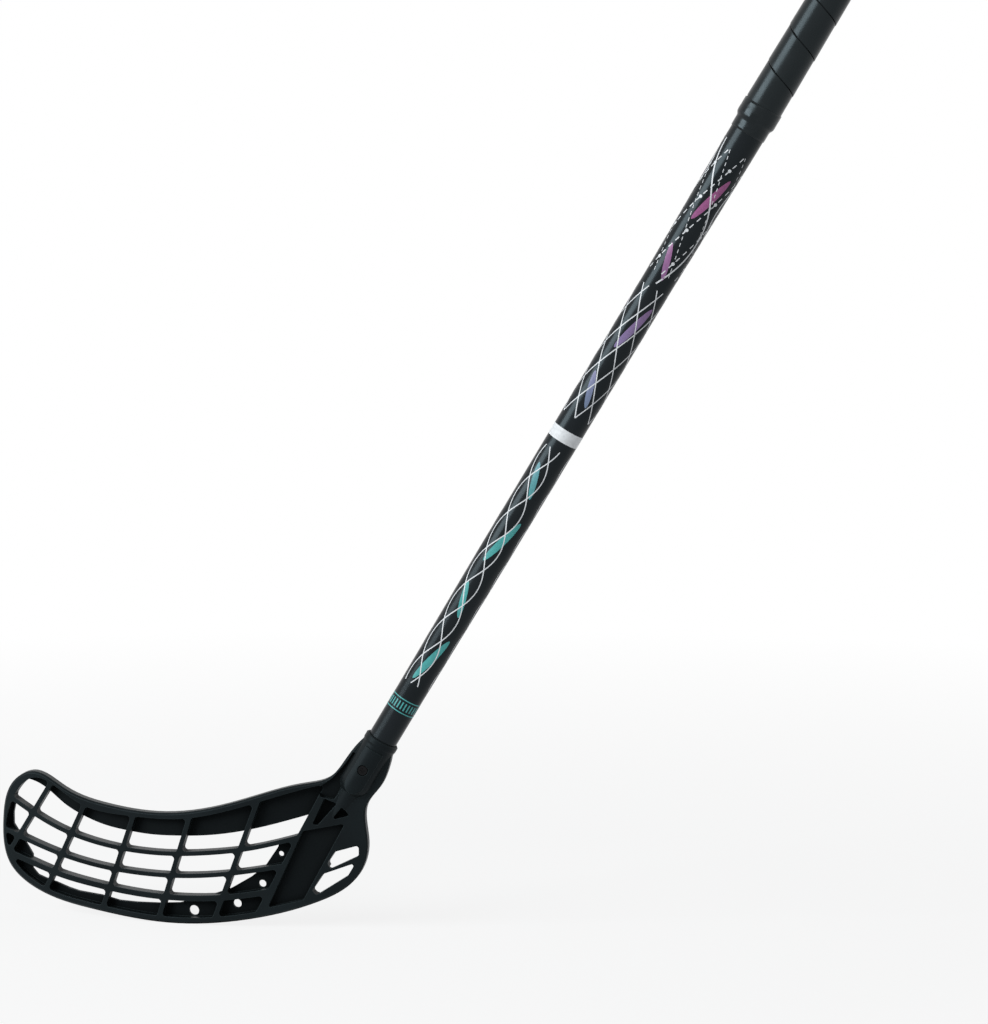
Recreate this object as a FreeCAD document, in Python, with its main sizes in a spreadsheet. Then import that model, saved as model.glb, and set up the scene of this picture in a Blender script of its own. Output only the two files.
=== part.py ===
# Floorball stick held in its playing stance: sole of the blade down, shaft rising to the right.
# The origin is the hold point on the shaft axis inside the grip. X runs from toe to heel, Z is up,
# and the toe hooks towards +Y.
import FreeCAD
import Part
import Sketcher
import math
import os
from FreeCAD import Vector

doc = FreeCAD.newDocument("floorball_stick")
sheet = doc.addObject("Spreadsheet::Sheet", "Sizes")

# Driving sizes in millimetres. The lie is the angle between shaft and floor in degrees.
SIZES = {
    "lie_angle": 59.1,
    "hold_from_end": 190.0,
    # Shaft: a hollow tube, slim at the blade, straight along the middle, wider under the grip.
    "shaft_length": 990.0,
    "shaft_tip_diameter": 22.4,
    "shaft_main_diameter": 24.0,
    "shaft_grip_diameter": 26.4,
    "shaft_wall": 1.4,
    "tip_straight": 80.0,
    "tip_taper": 120.0,
    "flare_start": 440.0,
    "flare_length": 116.0,
    # Neck and socket of the blade.
    "socket_depth": 38.0,
    "socket_clearance": 0.1,
    "socket_end_gap": 0.5,
    "neck_diameter": 25.8,
    "neck_length": 48.0,
    "lip_rise": 0.4,
    "lip_chamfer": 0.9,
    "lip_height": 4.5,
    "lip_slope": 1.5,
    "tongue_width": 15.0,
    "tongue_start": 9.0,
    "tongue_end": 46.0,
    "tongue_rise": 0.9,
    "keel_diameter": 19.0,
    "keel_length": 36.0,
    # Screws that hold the blade on the shaft, one from each side of the neck.
    "screw_depth": 26.0,
    "screw_spacing": 9.0,
    "screw_head_diameter": 7.0,
    "screw_head_height": 1.4,
    "screw_shank_diameter": 3.6,
    "screw_length": 7.5,
    "screw_drive_width": 1.1,
    "screw_drive_length": 3.8,
    "screw_drive_depth": 0.8,
    "screw_clearance": 0.05,
    "counterbore_clearance": 0.6,
    "counterbore_depth": 1.9,
    # Blade: a hooked plate with a rim, ribs and thin webs.
    "blade_length": 298.0,
    "blade_height": 108.0,
    "blade_thickness": 10.5,
    "heel_setback": 8.0,
    "sole_drop": 144.5,
    "hook_radius": 640.0,
    "hook_start": 70.0,
    "rim_width": 4.8,
    "rim_chamfer": 1.4,
    "rib_width": 3.4,
    "sole_rib_width": 4.4,
    "cross_rib_width": 3.6,
    "cell_rounding": 2.4,
    "web_thickness": 3.4,
    "heel_web_thickness": 3.6,
    "recess_depth": 4.6,
    "pocket_depth": 7.0,
    "pocket_rounding": 1.2,
    "slot_rounding": 2.6,
    "groove_depth": 3.6,
    "sole_hole_diameter": 7.8,
    "corner_hole_diameter": 6.6,
    "middle_hole_diameter": 5.8,
    "upper_hole_diameter": 4.2,
    # Grip tape wound in a spiral, and the band that closes its lower end.
    "grip_start": 578.0,
    "tape_thickness": 1.5,
    "tape_pitch": 30.0,
    "tape_seam": 0.6,
    "wrap_clearance": 0.05,
    "band_ring": 8.0,
    "band_step": 4.0,
    "band_cover": 11.0,
    "band_thickness": 0.45,
    # Rubber knob: a ribbed plug inside the tube and a flange on its end.
    "knob_diameter": 32.0,
    "knob_height": 7.0,
    "knob_crown": 3.0,
    "knob_face_diameter": 24.0,
    "knob_plug_length": 24.0,
    "knob_rib_height": 3.0,
    "knob_rib_rise": 0.5,
    "knob_clearance": 0.1,
    "cut_overrun": 2.0,
}

# Values that follow from the driving sizes.
DERIVED = {
    "tip_radius": "=shaft_tip_diameter / 2",
    "main_radius": "=shaft_main_diameter / 2",
    "grip_radius": "=shaft_grip_diameter / 2",
    "tip_bore": "=tip_radius - shaft_wall",
    "main_bore": "=main_radius - shaft_wall",
    "grip_bore": "=grip_radius - shaft_wall",
    "taper_end": "=tip_straight + tip_taper",
    "flare_end": "=flare_start + flare_length",
    "insert_depth": "=socket_depth - socket_end_gap",
    "socket_radius": "=tip_radius + socket_clearance",
    "neck_radius": "=neck_diameter / 2",
    "lip_radius": "=neck_radius + lip_rise",
    "lip_end": "=lip_height + lip_slope",
    "mouth_radius": "=lip_radius - lip_chamfer",
    "tongue_radius": "=neck_radius + tongue_rise",
    "collar_reach": "=shaft_length - hold_from_end - insert_depth",
    "tip_reach": "=shaft_length - hold_from_end",
    "half_thickness": "=blade_thickness / 2",
    "shank_radius": "=screw_shank_diameter / 2",
    "head_radius": "=screw_head_diameter / 2",
    "head_seat": "=tongue_radius - counterbore_depth",
    "tape_bore": "=grip_radius + wrap_clearance",
    "tape_radius": "=tape_bore + tape_thickness",
    "grip_length": "=shaft_length - grip_start",
    "band_bore": "=tape_radius + wrap_clearance",
    "band_radius": "=band_bore + band_thickness",
    "ring_radius": "=tape_bore + band_thickness",
    "ring_start": "=grip_start - band_step - band_ring",
    "step_start": "=grip_start - band_step",
    "step_end": "=grip_start - wrap_clearance",
    "band_end": "=grip_start + band_cover",
    "plug_radius": "=grip_bore - knob_clearance - knob_rib_rise",
    "plug_rib_radius": "=grip_bore - knob_clearance",
    "plug_start": "=shaft_length - knob_plug_length",
    "plug_rib_end": "=plug_start + knob_rib_height",
    "knob_shoulder": "=shaft_length + knob_height - knob_crown",
    "knob_end": "=shaft_length + knob_height",
    "knob_radius": "=knob_diameter / 2",
    "knob_face_radius": "=knob_face_diameter / 2",
}

row = 0
for alias, value in list(SIZES.items()) + list(DERIVED.items()):
    row += 1
    sheet.set("A%d" % row, alias)
    sheet.set("B%d" % row, str(value))
    sheet.setAlias("B%d" % row, alias)
doc.recompute()


def size(alias):
    return float(sheet.get(alias))


LIE_COS = math.cos(math.radians(size("lie_angle")))
LIE_SIN = math.sin(math.radians(size("lie_angle")))


def down_shaft(obj, reach):
    # Moves a piece down the shaft axis from the hold point.
    obj.setExpression("Placement.Base.x", "-(%s) * cos(Sizes.lie_angle * 1 deg)" % reach)
    obj.setExpression("Placement.Base.z", "-(%s) * sin(Sizes.lie_angle * 1 deg)" % reach)


def lean(obj, turn):
    # Leans a piece built on its own Z axis onto the shaft axis: 90 points it up the shaft and 270 down.
    obj.Placement = FreeCAD.Placement(Vector(), FreeCAD.Rotation(Vector(0, 1, 0), turn))
    obj.setExpression("Placement.Rotation.Angle", "(%d - Sizes.lie_angle) * 1 deg" % turn)


def stand_on_shaft(obj, reach):
    lean(obj, 90)
    down_shaft(obj, reach)


def closed_profile(sketch, corners):
    # Straight-sided profile whose corners are held by named sizes.
    spots = []
    for across, up in corners:
        x = 0.0 if across == "0" else size(across)
        y = 0.0 if up == "0" else size(up)
        spots.append(Vector(x, y, 0))
    count = len(spots)
    for i in range(count):
        sketch.addGeometry(Part.LineSegment(spots[i], spots[(i + 1) % count]), False)
    for i in range(count):
        sketch.addConstraint(Sketcher.Constraint("Coincident", i, 2, (i + 1) % count, 1))
    for i, (across, up) in enumerate(corners):
        if across == "0":
            sketch.addConstraint(Sketcher.Constraint("PointOnObject", i, 1, -2))
        else:
            held = sketch.addConstraint(Sketcher.Constraint("DistanceX", -1, 1, i, 1, spots[i].x))
            sketch.setExpression("Constraints[%d]" % held, "Sizes." + across)
        if up == "0":
            sketch.addConstraint(Sketcher.Constraint("PointOnObject", i, 1, -1))
        else:
            held = sketch.addConstraint(Sketcher.Constraint("DistanceY", -1, 1, i, 1, spots[i].y))
            sketch.setExpression("Constraints[%d]" % held, "Sizes." + up)


def body_sketch(body, name, role):
    plane = [f for f in body.Origin.OriginFeatures if f.Role == role][0]
    sketch = body.newObject("Sketcher::SketchObject", name)
    sketch.AttachmentSupport = (plane, [""])
    sketch.MapMode = "FlatFace"
    return sketch


def turned_body(name, corners):
    body = doc.addObject("PartDesign::Body", name)
    sketch = body_sketch(body, name + "_profile", "XZ_Plane")
    closed_profile(sketch, corners)
    turn = body.newObject("PartDesign::Revolution", name + "_turn")
    turn.Profile = sketch
    turn.ReferenceAxis = (sketch, ["V_Axis"])
    turn.Angle = 360
    body.Tip = turn
    return body


def boolean(kind, name, base, tool):
    result = doc.addObject(kind, name)
    result.Base = base
    result.Tool = tool
    return result


def fused(name, shapes):
    result = doc.addObject("Part::MultiFuse", name)
    result.Shapes = shapes
    return result


def solid_feature(name, shape):
    result = doc.addObject("Part::Feature", name)
    result.Shape = shape
    return result


# Shaft tube with its two pilot holes for the blade screws.
shaft_tube = turned_body("shaft_tube", [
    ("tip_bore", "0"), ("tip_radius", "0"), ("tip_radius", "tip_straight"), ("main_radius", "taper_end"),
    ("main_radius", "flare_start"), ("grip_radius", "flare_end"), ("grip_radius", "shaft_length"),
    ("grip_bore", "shaft_length"), ("grip_bore", "flare_end"), ("main_bore", "flare_start"),
    ("main_bore", "taper_end"), ("tip_bore", "tip_straight"),
])


def screw_drill(name, radius, reach, depth, side):
    # Cylinder along Y through one wall of the neck, depth below the collar; side -1 is the convex back.
    drill = doc.addObject("Part::Cylinder", name)
    drill.setExpression("Radius", radius)
    drill.setExpression("Height", "Sizes.tongue_radius + Sizes.cut_overrun - (%s)" % reach)
    drill.Placement = FreeCAD.Placement(Vector(), FreeCAD.Rotation(Vector(1, 0, 0), -90 * side))
    drill.setExpression("Placement.Base.y", "%d * (%s)" % (side, reach))
    if depth.startswith("shaft:"):
        drill.setExpression("Placement.Base.z", "Sizes.insert_depth - (%s)" % depth[len("shaft:"):])
    else:
        down_shaft(drill, depth)
    return drill


BACK_SCREW = "Sizes.screw_depth"
FRONT_SCREW = "Sizes.screw_depth - Sizes.screw_spacing"
PILOT = "Sizes.shank_radius + Sizes.screw_clearance"
pilot_back = screw_drill("pilot_back", PILOT, "Sizes.shank_radius", "shaft:" + BACK_SCREW, -1)
pilot_front = screw_drill("pilot_front", PILOT, "Sizes.shank_radius", "shaft:" + FRONT_SCREW, 1)
shaft = boolean("Part::Cut", "shaft", shaft_tube, fused("pilots", [pilot_back, pilot_front]))
stand_on_shaft(shaft, "Sizes.tip_reach")

# Grip tape: a sleeve parted by one spiral seam, so that a single unbroken strip remains.
grip_tape = doc.addObject("PartDesign::Body", "grip_tape")
sleeve_profile = body_sketch(grip_tape, "sleeve_profile", "XZ_Plane")
closed_profile(sleeve_profile, [
    ("tape_bore", "0"), ("tape_radius", "0"), ("tape_radius", "grip_length"), ("tape_bore", "grip_length"),
])
sleeve = grip_tape.newObject("PartDesign::Revolution", "sleeve")
sleeve.Profile = sleeve_profile
sleeve.ReferenceAxis = (sleeve_profile, ["V_Axis"])
sleeve.Angle = 360
seam_profile = body_sketch(grip_tape, "seam_profile", "XZ_Plane")
seam_in = size("tape_bore") - size("cut_overrun")
seam_out = size("tape_radius") + size("cut_overrun")
seam_low = -size("tape_pitch")
seam_high = seam_low + size("tape_seam")
seam_corners = [(seam_in, seam_low), (seam_out, seam_low), (seam_out, seam_high), (seam_in, seam_high)]
for i in range(4):
    start, end = seam_corners[i], seam_corners[(i + 1) % 4]
    seam_profile.addGeometry(Part.LineSegment(Vector(start[0], start[1], 0), Vector(end[0], end[1], 0)), False)
for i in range(4):
    seam_profile.addConstraint(Sketcher.Constraint("Coincident", i, 2, (i + 1) % 4, 1))
for i in (0, 2):
    seam_profile.addConstraint(Sketcher.Constraint("Horizontal", i))
for i in (1, 3):
    seam_profile.addConstraint(Sketcher.Constraint("Vertical", i))
SEAM_HOLDS = [
    ("DistanceX", (-1, 1, 0, 1), seam_in, "Sizes.tape_bore - Sizes.cut_overrun"),
    ("DistanceX", (-1, 1, 1, 1), seam_out, "Sizes.tape_radius + Sizes.cut_overrun"),
    ("DistanceY", (0, 1, -1, 1), -seam_low, "Sizes.tape_pitch"),
    ("DistanceY", (1, 1, 1, 2), seam_high - seam_low, "Sizes.tape_seam"),
]
for kind, ends, value, rule in SEAM_HOLDS:
    held = seam_profile.addConstraint(Sketcher.Constraint(kind, *ends, value))
    seam_profile.setExpression("Constraints[%d]" % held, rule)
seam = grip_tape.newObject("PartDesign::SubtractiveHelix", "seam")
seam.Profile = seam_profile
seam.ReferenceAxis = (seam_profile, ["V_Axis"])
seam.Mode = 0
seam.setExpression("Pitch", "Sizes.tape_pitch")
seam.setExpression("Height", "Sizes.grip_length + 2 * Sizes.tape_pitch")
seam.LeftHanded = True
grip_tape.Tip = seam
stand_on_shaft(grip_tape, "Sizes.tip_reach - Sizes.grip_start")

# Finishing band: thin stretched tape over the end of the grip, a short cone, and a ring on the shaft.
grip_finishing_band = turned_body("grip_finishing_band", [
    ("tape_bore", "ring_start"), ("ring_radius", "ring_start"), ("ring_radius", "step_start"),
    ("band_radius", "grip_start"), ("band_radius", "band_end"), ("band_bore", "band_end"),
    ("band_bore", "step_end"), ("tape_bore", "step_end"),
])
stand_on_shaft(grip_finishing_band, "Sizes.tip_reach")

# End knob: flange on the end of the tube and a plug with one sealing rib inside it.
end_knob = turned_body("end_knob", [
    ("0", "plug_start"), ("plug_rib_radius", "plug_start"), ("plug_rib_radius", "plug_rib_end"),
    ("plug_radius", "plug_rib_end"), ("plug_radius", "shaft_length"), ("knob_radius", "shaft_length"),
    ("knob_radius", "knob_shoulder"), ("knob_face_radius", "knob_end"), ("0", "knob_end"),
])
stand_on_shaft(end_knob, "Sizes.tip_reach")


# Blade, built in the stance with the middle of the collar's mouth at the origin.
def neck_point(down, right):
    # Down the shaft from the collar, and to the right of its axis.
    return Vector(right * LIE_SIN - down * LIE_COS, 0, -down * LIE_SIN - right * LIE_COS)


def neck_places(shares):
    return [neck_point(d * size("neck_length"), r * size("neck_radius")) for d, r in shares]


def blade_point(along_share, up_share):
    # From the back of the heel towards the toe, and up from the sole.
    x = -size("heel_setback") - along_share * size("blade_length")
    return Vector(x, 0, up_share * size("blade_height") - size("sole_drop"))


def blade_places(shares):
    return [blade_point(a, u) for a, u in shares]


def curve_through(points):
    curve = Part.BSplineCurve()
    curve.interpolate(points)
    return curve


# Flanks of the neck as shares of the neck's length and radius.
LEFT_FLANK_SHARES = [(0.14, -0.98), (0.57, -1.24), (0.96, -1.50)]
RIGHT_FLANK_SHARES = [(1.00, 1.20), (0.65, 1.33), (0.36, 1.21), (0.14, 0.96)]
# Outer edge of the blade from the neck round the toe, the sole and the heel, as shares of length and height.
EDGE_SHARES = [
    (0.175, 1.012), (0.312, 0.905), (0.443, 0.804), (0.567, 0.769), (0.698, 0.804), (0.819, 0.904),
    (0.906, 1.003), (0.962, 0.924), (0.995, 0.634), (0.976, 0.321), (0.901, 0.160), (0.739, 0.047),
    (0.527, -0.012), (0.308, 0.046), (0.139, 0.180), (0.040, 0.356), (0.010, 0.590),
]
edge_points = neck_places(LEFT_FLANK_SHARES) + blade_places(EDGE_SHARES) + neck_places(RIGHT_FLANK_SHARES)
edge_curve = curve_through(edge_points)
edge_face = Part.Face(Part.Wire([edge_curve.toShape(), Part.makeLine(edge_points[-1], edge_points[0])]))
outline = solid_feature("blade_outline", edge_face)

# Depth of the hook at the toe, which all cuts through the blade have to pass.
hook_run = size("blade_length") + size("heel_setback") - size("hook_start")
hook_rise = size("hook_radius") - math.sqrt(size("hook_radius") ** 2 - hook_run ** 2)
cut_reach = hook_rise + size("blade_thickness") + size("cut_overrun")


def through(face):
    # Prism along Y that passes through the whole hooked blade.
    return face.translated(Vector(0, -cut_reach, 0)).extrude(Vector(0, 2 * cut_reach, 0))


def polygon_face(points):
    return Part.Face(Part.makePolygon(points + points[:1]))


def rounded_face(face, rounding):
    # Rounds the corners of a flat face with arcs, each within a third of the sides that meet there.
    sides = face.OuterWire.OrderedEdges
    ends = [[0.0, side.Length] for side in sides]
    arcs = []
    for i, side in enumerate(sides):
        after = (i + 1) % len(sides)
        back = sides[after].Orientation == "Reversed"
        corner = sides[after].valueAt(sides[after].LastParameter if back else sides[after].FirstParameter)
        legs = []
        for leg in (side, sides[after]):
            at_start = (leg.valueAt(leg.FirstParameter) - corner).Length < (
                leg.valueAt(leg.LastParameter) - corner).Length
            run = leg.tangentAt(leg.FirstParameter) if at_start else leg.tangentAt(leg.LastParameter) * -1
            legs.append((leg, run, at_start))
        half_angle = legs[0][1].getAngle(legs[1][1]) / 2
        setback = min(rounding / math.tan(half_angle), side.Length / 3, sides[after].Length / 3)
        touches = []
        for (leg, run, at_start), number in zip(legs, (i, after)):
            reach = setback if at_start else leg.Length - setback
            ends[number][0 if at_start else 1] = reach
            touches.append(leg.valueAt(leg.getParameterByLength(reach)))
        inward = (legs[0][1] + legs[1][1]).normalize()
        middle = corner + inward * (setback / math.cos(half_angle) - setback * math.tan(half_angle))
        arcs.append(Part.Arc(touches[0], middle, touches[1]).toShape())
    edges = []
    for side, (start, end), arc in zip(sides, ends, arcs):
        trimmed = side.Curve.toShape(side.getParameterByLength(start), side.getParameterByLength(end))
        edges += [trimmed, arc]
    return Part.Face(Part.Wire(edges))


def rounded_prism(points, rounding):
    return through(rounded_face(polygon_face(points), rounding))


def hooked_layer(front, rear):
    # Layer between two offsets from the hooked middle surface; the flat part joins the arc at the hook's start.
    far = size("heel_setback") + size("blade_length") + size("blade_height")
    right = size("neck_diameter")
    start = -size("hook_start")
    centre = Vector(start, size("hook_radius"), 0)
    swing = math.asin((far - size("hook_start")) / (size("hook_radius") + size("blade_height")))

    def arc(offset):
        radius = size("hook_radius") - offset
        spots = []
        for turn_share in (0.0, 0.5, 1.0):
            angle = turn_share * swing
            spots.append(centre + Vector(-radius * math.sin(angle), -radius * math.cos(angle), 0))
        return spots

    low, high = arc(front), arc(rear)
    near_low, near_high = Vector(right, front, 0), Vector(right, rear, 0)
    edges = [
        Part.makeLine(near_low, low[0]),
        Part.Arc(*low).toShape(),
        Part.makeLine(low[2], high[2]),
        Part.Arc(*reversed(high)).toShape(),
        Part.makeLine(high[0], near_high),
        Part.makeLine(near_high, near_low),
    ]
    face = Part.Face(Part.Wire(edges))
    depth = size("sole_drop") + size("blade_height")
    return face.translated(Vector(0, 0, -depth)).extrude(Vector(0, 0, 2 * depth))


half = size("half_thickness")
blank = doc.addObject("Part::Extrusion", "blade_blank")
blank.Base = outline
blank.Dir = Vector(0, 1, 0)
blank.DirMode = "Custom"
blank.LengthFwd = 2 * cut_reach
blank.Symmetric = True
blank.Solid = True
plate_layer = solid_feature("plate_layer", hooked_layer(-half, half))
plate = boolean("Part::Common", "blade_plate", blank, plate_layer)
doc.recompute()

# Broken outer edges of the rim on both faces, from flank to flank.
eased = doc.addObject("Part::Chamfer", "eased_plate")
eased.Base = plate
long_edges = []
for number, edge in enumerate(plate.Shape.Edges, 1):
    if edge.Curve.TypeId != "Part::GeomLine" and edge.Length > size("blade_thickness"):
        long_edges.append((number, size("rim_chamfer"), size("rim_chamfer")))
eased.Edges = long_edges

# Groove between the neck and the fin that runs from the collar into the upper rim.
GROOVE_SHARES = [
    (0.40, -0.80), (0.40, -1.07), (0.62, -1.10), (0.95, -1.34), (1.18, -1.72), (1.30, -1.36), (1.22, -0.60),
    (0.90, -0.50),
]
groove_layer = hooked_layer(-cut_reach, size("groove_depth") - half)
groove_prism = rounded_prism(neck_places(GROOVE_SHARES), size("pocket_rounding"))
groove = solid_feature("fin_groove", groove_prism.common(groove_layer))
grooved = boolean("Part::Cut", "grooved_plate", eased, groove)
doc.recompute()

# Neck: a turned collar, straight wall and dome, on an axis that points down the shaft.
neck = doc.addObject("PartDesign::Body", "neck")
neck_sketch = body_sketch(neck, "neck_profile", "XZ_Plane")
wall = size("neck_radius")
dome_end = size("socket_depth") + wall
neck_corners = [
    Vector(0, 0, 0), Vector(size("mouth_radius"), 0, 0), Vector(size("lip_radius"), size("lip_chamfer"), 0),
    Vector(size("lip_radius"), size("lip_height"), 0), Vector(wall, size("lip_end"), 0),
    Vector(wall, size("socket_depth"), 0), Vector(0, dome_end, 0),
]
for i in range(5):
    neck_sketch.addGeometry(Part.LineSegment(neck_corners[i], neck_corners[i + 1]), False)
dome_circle = Part.Circle(Vector(0, size("socket_depth"), 0), Vector(0, 0, 1), wall)
neck_sketch.addGeometry(Part.ArcOfCircle(dome_circle, 0, math.pi / 2), False)
neck_sketch.addGeometry(Part.LineSegment(neck_corners[6], neck_corners[0]), False)
for i in range(7):
    neck_sketch.addConstraint(Sketcher.Constraint("Coincident", i, 2, (i + 1) % 7, 1))
neck_sketch.addConstraint(Sketcher.Constraint("Coincident", 0, 1, -1, 1))
neck_sketch.addConstraint(Sketcher.Constraint("Horizontal", 0))
for upright_line in (2, 4, 6):
    neck_sketch.addConstraint(Sketcher.Constraint("Vertical", upright_line))
neck_sketch.addConstraint(Sketcher.Constraint("Horizontal", 4, 2, 5, 3))
NECK_HOLDS = [
    ("DistanceX", (-1, 1, 0, 2), size("mouth_radius"), "Sizes.mouth_radius"),
    ("DistanceX", (-1, 1, 1, 2), size("lip_radius"), "Sizes.lip_radius"),
    ("DistanceY", (-1, 1, 1, 2), size("lip_chamfer"), "Sizes.lip_chamfer"),
    ("DistanceY", (-1, 1, 2, 2), size("lip_height"), "Sizes.lip_height"),
    ("DistanceX", (-1, 1, 3, 2), wall, "Sizes.neck_radius"),
    ("DistanceY", (-1, 1, 3, 2), size("lip_end"), "Sizes.lip_end"),
    ("DistanceY", (-1, 1, 4, 2), size("socket_depth"), "Sizes.socket_depth"),
    ("DistanceY", (-1, 1, 5, 2), dome_end, "Sizes.socket_depth + Sizes.neck_radius"),
]
for kind, ends, value, rule in NECK_HOLDS:
    held = neck_sketch.addConstraint(Sketcher.Constraint(kind, *ends, value))
    neck_sketch.setExpression("Constraints[%d]" % held, rule)
neck_turn = neck.newObject("PartDesign::Revolution", "neck_turn")
neck_turn.Profile = neck_sketch
neck_turn.ReferenceAxis = (neck_sketch, ["V_Axis"])
neck_turn.Angle = 360
neck.Tip = neck_turn
lean(neck, 270)

# Keel: the neck's dome runs out into the blade in a slim cone.
keel = doc.addObject("Part::Cone", "keel")
keel.setExpression("Radius1", "Sizes.keel_diameter / 2")
keel.setExpression("Radius2", "Sizes.half_thickness")
keel.setExpression("Height", "Sizes.keel_length")
lean(keel, 270)
down_shaft(keel, "Sizes.socket_depth + Sizes.socket_clearance")

# Tongue: a slightly raised land with a round lower end that carries the screw on each side of the neck.
tongue_half = size("tongue_width") / 2
tongue_round = size("tongue_end") - tongue_half
tongue_edges = [
    Part.makeLine(neck_point(size("tongue_start"), -tongue_half), neck_point(tongue_round, -tongue_half)),
    Part.Arc(neck_point(tongue_round, -tongue_half), neck_point(size("tongue_end"), 0),
             neck_point(tongue_round, tongue_half)).toShape(),
    Part.makeLine(neck_point(tongue_round, tongue_half), neck_point(size("tongue_start"), tongue_half)),
    Part.makeLine(neck_point(size("tongue_start"), tongue_half), neck_point(size("tongue_start"), -tongue_half)),
]
tongue_prism = solid_feature("tongue_prism", through(Part.Face(Part.Wire(tongue_edges))))
tongue_round_bar = doc.addObject("Part::Cylinder", "tongue_round_bar")
tongue_round_bar.setExpression("Radius", "Sizes.tongue_radius")
tongue_round_bar.setExpression("Height", "Sizes.tongue_end")
lean(tongue_round_bar, 270)
tongue = boolean("Part::Common", "tongue", tongue_prism, tongue_round_bar)

# Grid of the blade. Each cross rib is a straight bar given by its top and foot, from the toe to the heel, as
# shares of length and height.
CROSS_RIB_SHARES = [
    ((0.845, 0.970), (1.042, 0.130)),
    ((0.725, 0.990), (0.897, 0.020)),
    ((0.592, 0.990), (0.723, -0.030)),
    ((0.445, 0.990), (0.562, -0.020)),
    ((0.280, 0.980), (0.410, 0.020)),
]
# Heel end of the grid, a slanted line from above the rim to below the sole.
HEEL_LINE_SHARES = ((0.105, 1.09), (0.320, -0.012))
# Lower edges of the closed upper band and of the three long ribs, from beyond the toe to beyond the heel end.
BAND_EDGE_SHARES = [
    (1.06, 0.860), (0.960, 0.925), (0.911, 0.932), (0.882, 0.898), (0.847, 0.824), (0.802, 0.750), (0.740, 0.673),
    (0.660, 0.625), (0.580, 0.602), (0.510, 0.603), (0.440, 0.614), (0.360, 0.645), (0.280, 0.695), (0.190, 0.767),
    (0.080, 0.855),
]
LONG_RIB_SHARES = [
    [(1.06, 0.930), (0.931, 0.724), (0.849, 0.614), (0.741, 0.523), (0.603, 0.472), (0.528, 0.468), (0.411, 0.491),
     (0.297, 0.540), (0.251, 0.571), (0.080, 0.710)],
    [(1.06, 0.620), (0.915, 0.482), (0.850, 0.426), (0.742, 0.358), (0.604, 0.317), (0.510, 0.313), (0.412, 0.331),
     (0.297, 0.378), (0.080, 0.500)],
    [(1.06, 0.450), (0.898, 0.313), (0.828, 0.257), (0.743, 0.212), (0.605, 0.163), (0.519, 0.152), (0.400, 0.165),
     (0.280, 0.215), (0.080, 0.330)],
]
LONG_RIB_WIDTHS = ["rib_width", "rib_width", "sole_rib_width"]

# Inside line of the rim, which ends the cells along the toe and the sole.
RIM_STEPS = 16
rim_points = []
first = edge_curve.parameter(edge_points[2])
last = edge_curve.parameter(edge_points[len(edge_points) - 5])
for step in range(RIM_STEPS + 1):
    spot = first + (last - first) * step / RIM_STEPS
    run = edge_curve.tangent(spot)[0]
    rim_points.append(edge_curve.value(spot) + Vector(-run.z, 0, run.x) * size("rim_width"))
rim_wire = Part.Wire([curve_through(rim_points).toShape(), Part.makeLine(rim_points[-1], rim_points[0])])
rim_inside = Part.Face(rim_wire)


def strip(shares, below, above):
    # Band along a smooth line, from its distance below the line to its distance above it.
    line = curve_through(blade_places(shares))
    edges = []
    for offset in (below, above):
        spots = []
        for step in range(RIM_STEPS + 1):
            spot = line.FirstParameter + (line.LastParameter - line.FirstParameter) * step / RIM_STEPS
            run = line.tangent(spot)[0]
            spots.append(line.value(spot) + Vector(-run.z, 0, run.x) * offset)
        edges.append((curve_through(spots).toShape(), spots[0], spots[-1]))
    low, high = edges
    return Part.Face(Part.Wire([
        low[0], Part.makeLine(low[2], high[2]), high[0], Part.makeLine(high[1], low[1]),
    ]))


def bar(ends, width):
    top, foot = blade_point(*ends[0]), blade_point(*ends[1])
    run = (foot - top).normalize()
    side = Vector(run.z, 0, -run.x) * (width / 2)
    return polygon_face([top + side, foot + side, foot - side, top - side])


heel_line = blade_places(HEEL_LINE_SHARES)
to_heel = Vector(size("blade_length"), 0, 0)
heel_side = polygon_face([heel_line[0], heel_line[1], heel_line[1] + to_heel, heel_line[0] + to_heel])
cross_ribs = [bar(ends, size("cross_rib_width")) for ends in CROSS_RIB_SHARES]
long_ribs = [strip(shares, 0, size(width)) for shares, width in zip(LONG_RIB_SHARES, LONG_RIB_WIDTHS)]
cell_faces = rim_inside.cut([heel_side] + cross_ribs + long_ribs).Faces
cells = [through(rounded_face(face, size("cell_rounding"))) for face in cell_faces]
print("cells of the grid:", len(cells))
grid_cells = solid_feature("grid_cells", Part.makeCompound(cells))

# Thin web that closes the grid on the concave face: above the band's edge, along the toe and the sole, and up to
# the heel block.
WEB_SHARES = [
    (1.1, 0.93), (0.948, 0.900), (0.957, 0.843), (0.970, 0.682), (0.970, 0.600), (0.930, 0.450), (0.915, 0.390),
    (0.916, 0.290), (0.900, 0.246), (0.873, 0.222), (0.846, 0.204), (0.812, 0.174), (0.783, 0.156), (0.720, 0.140),
    (0.670, 0.112), (0.624, 0.108), (0.560, 0.112), (0.506, 0.123), (0.430, 0.184), (0.368, 0.246), (0.316, 0.332),
    (0.277, 0.421), (0.246, 0.548), (0.240, 0.585), (0.10, 0.65), (0.10, -0.1), (1.1, -0.1),
]
web_layer = hooked_layer(half - size("web_thickness"), cut_reach)
sole_web = through(polygon_face(blade_places(WEB_SHARES))).common(web_layer)
band_web = through(strip(BAND_EDGE_SHARES, 0, size("blade_height"))).common(web_layer)
webs = solid_feature("webs", sole_web.fuse(band_web))
grid_cut = boolean("Part::Cut", "grid_cut", grid_cells, webs)

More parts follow.
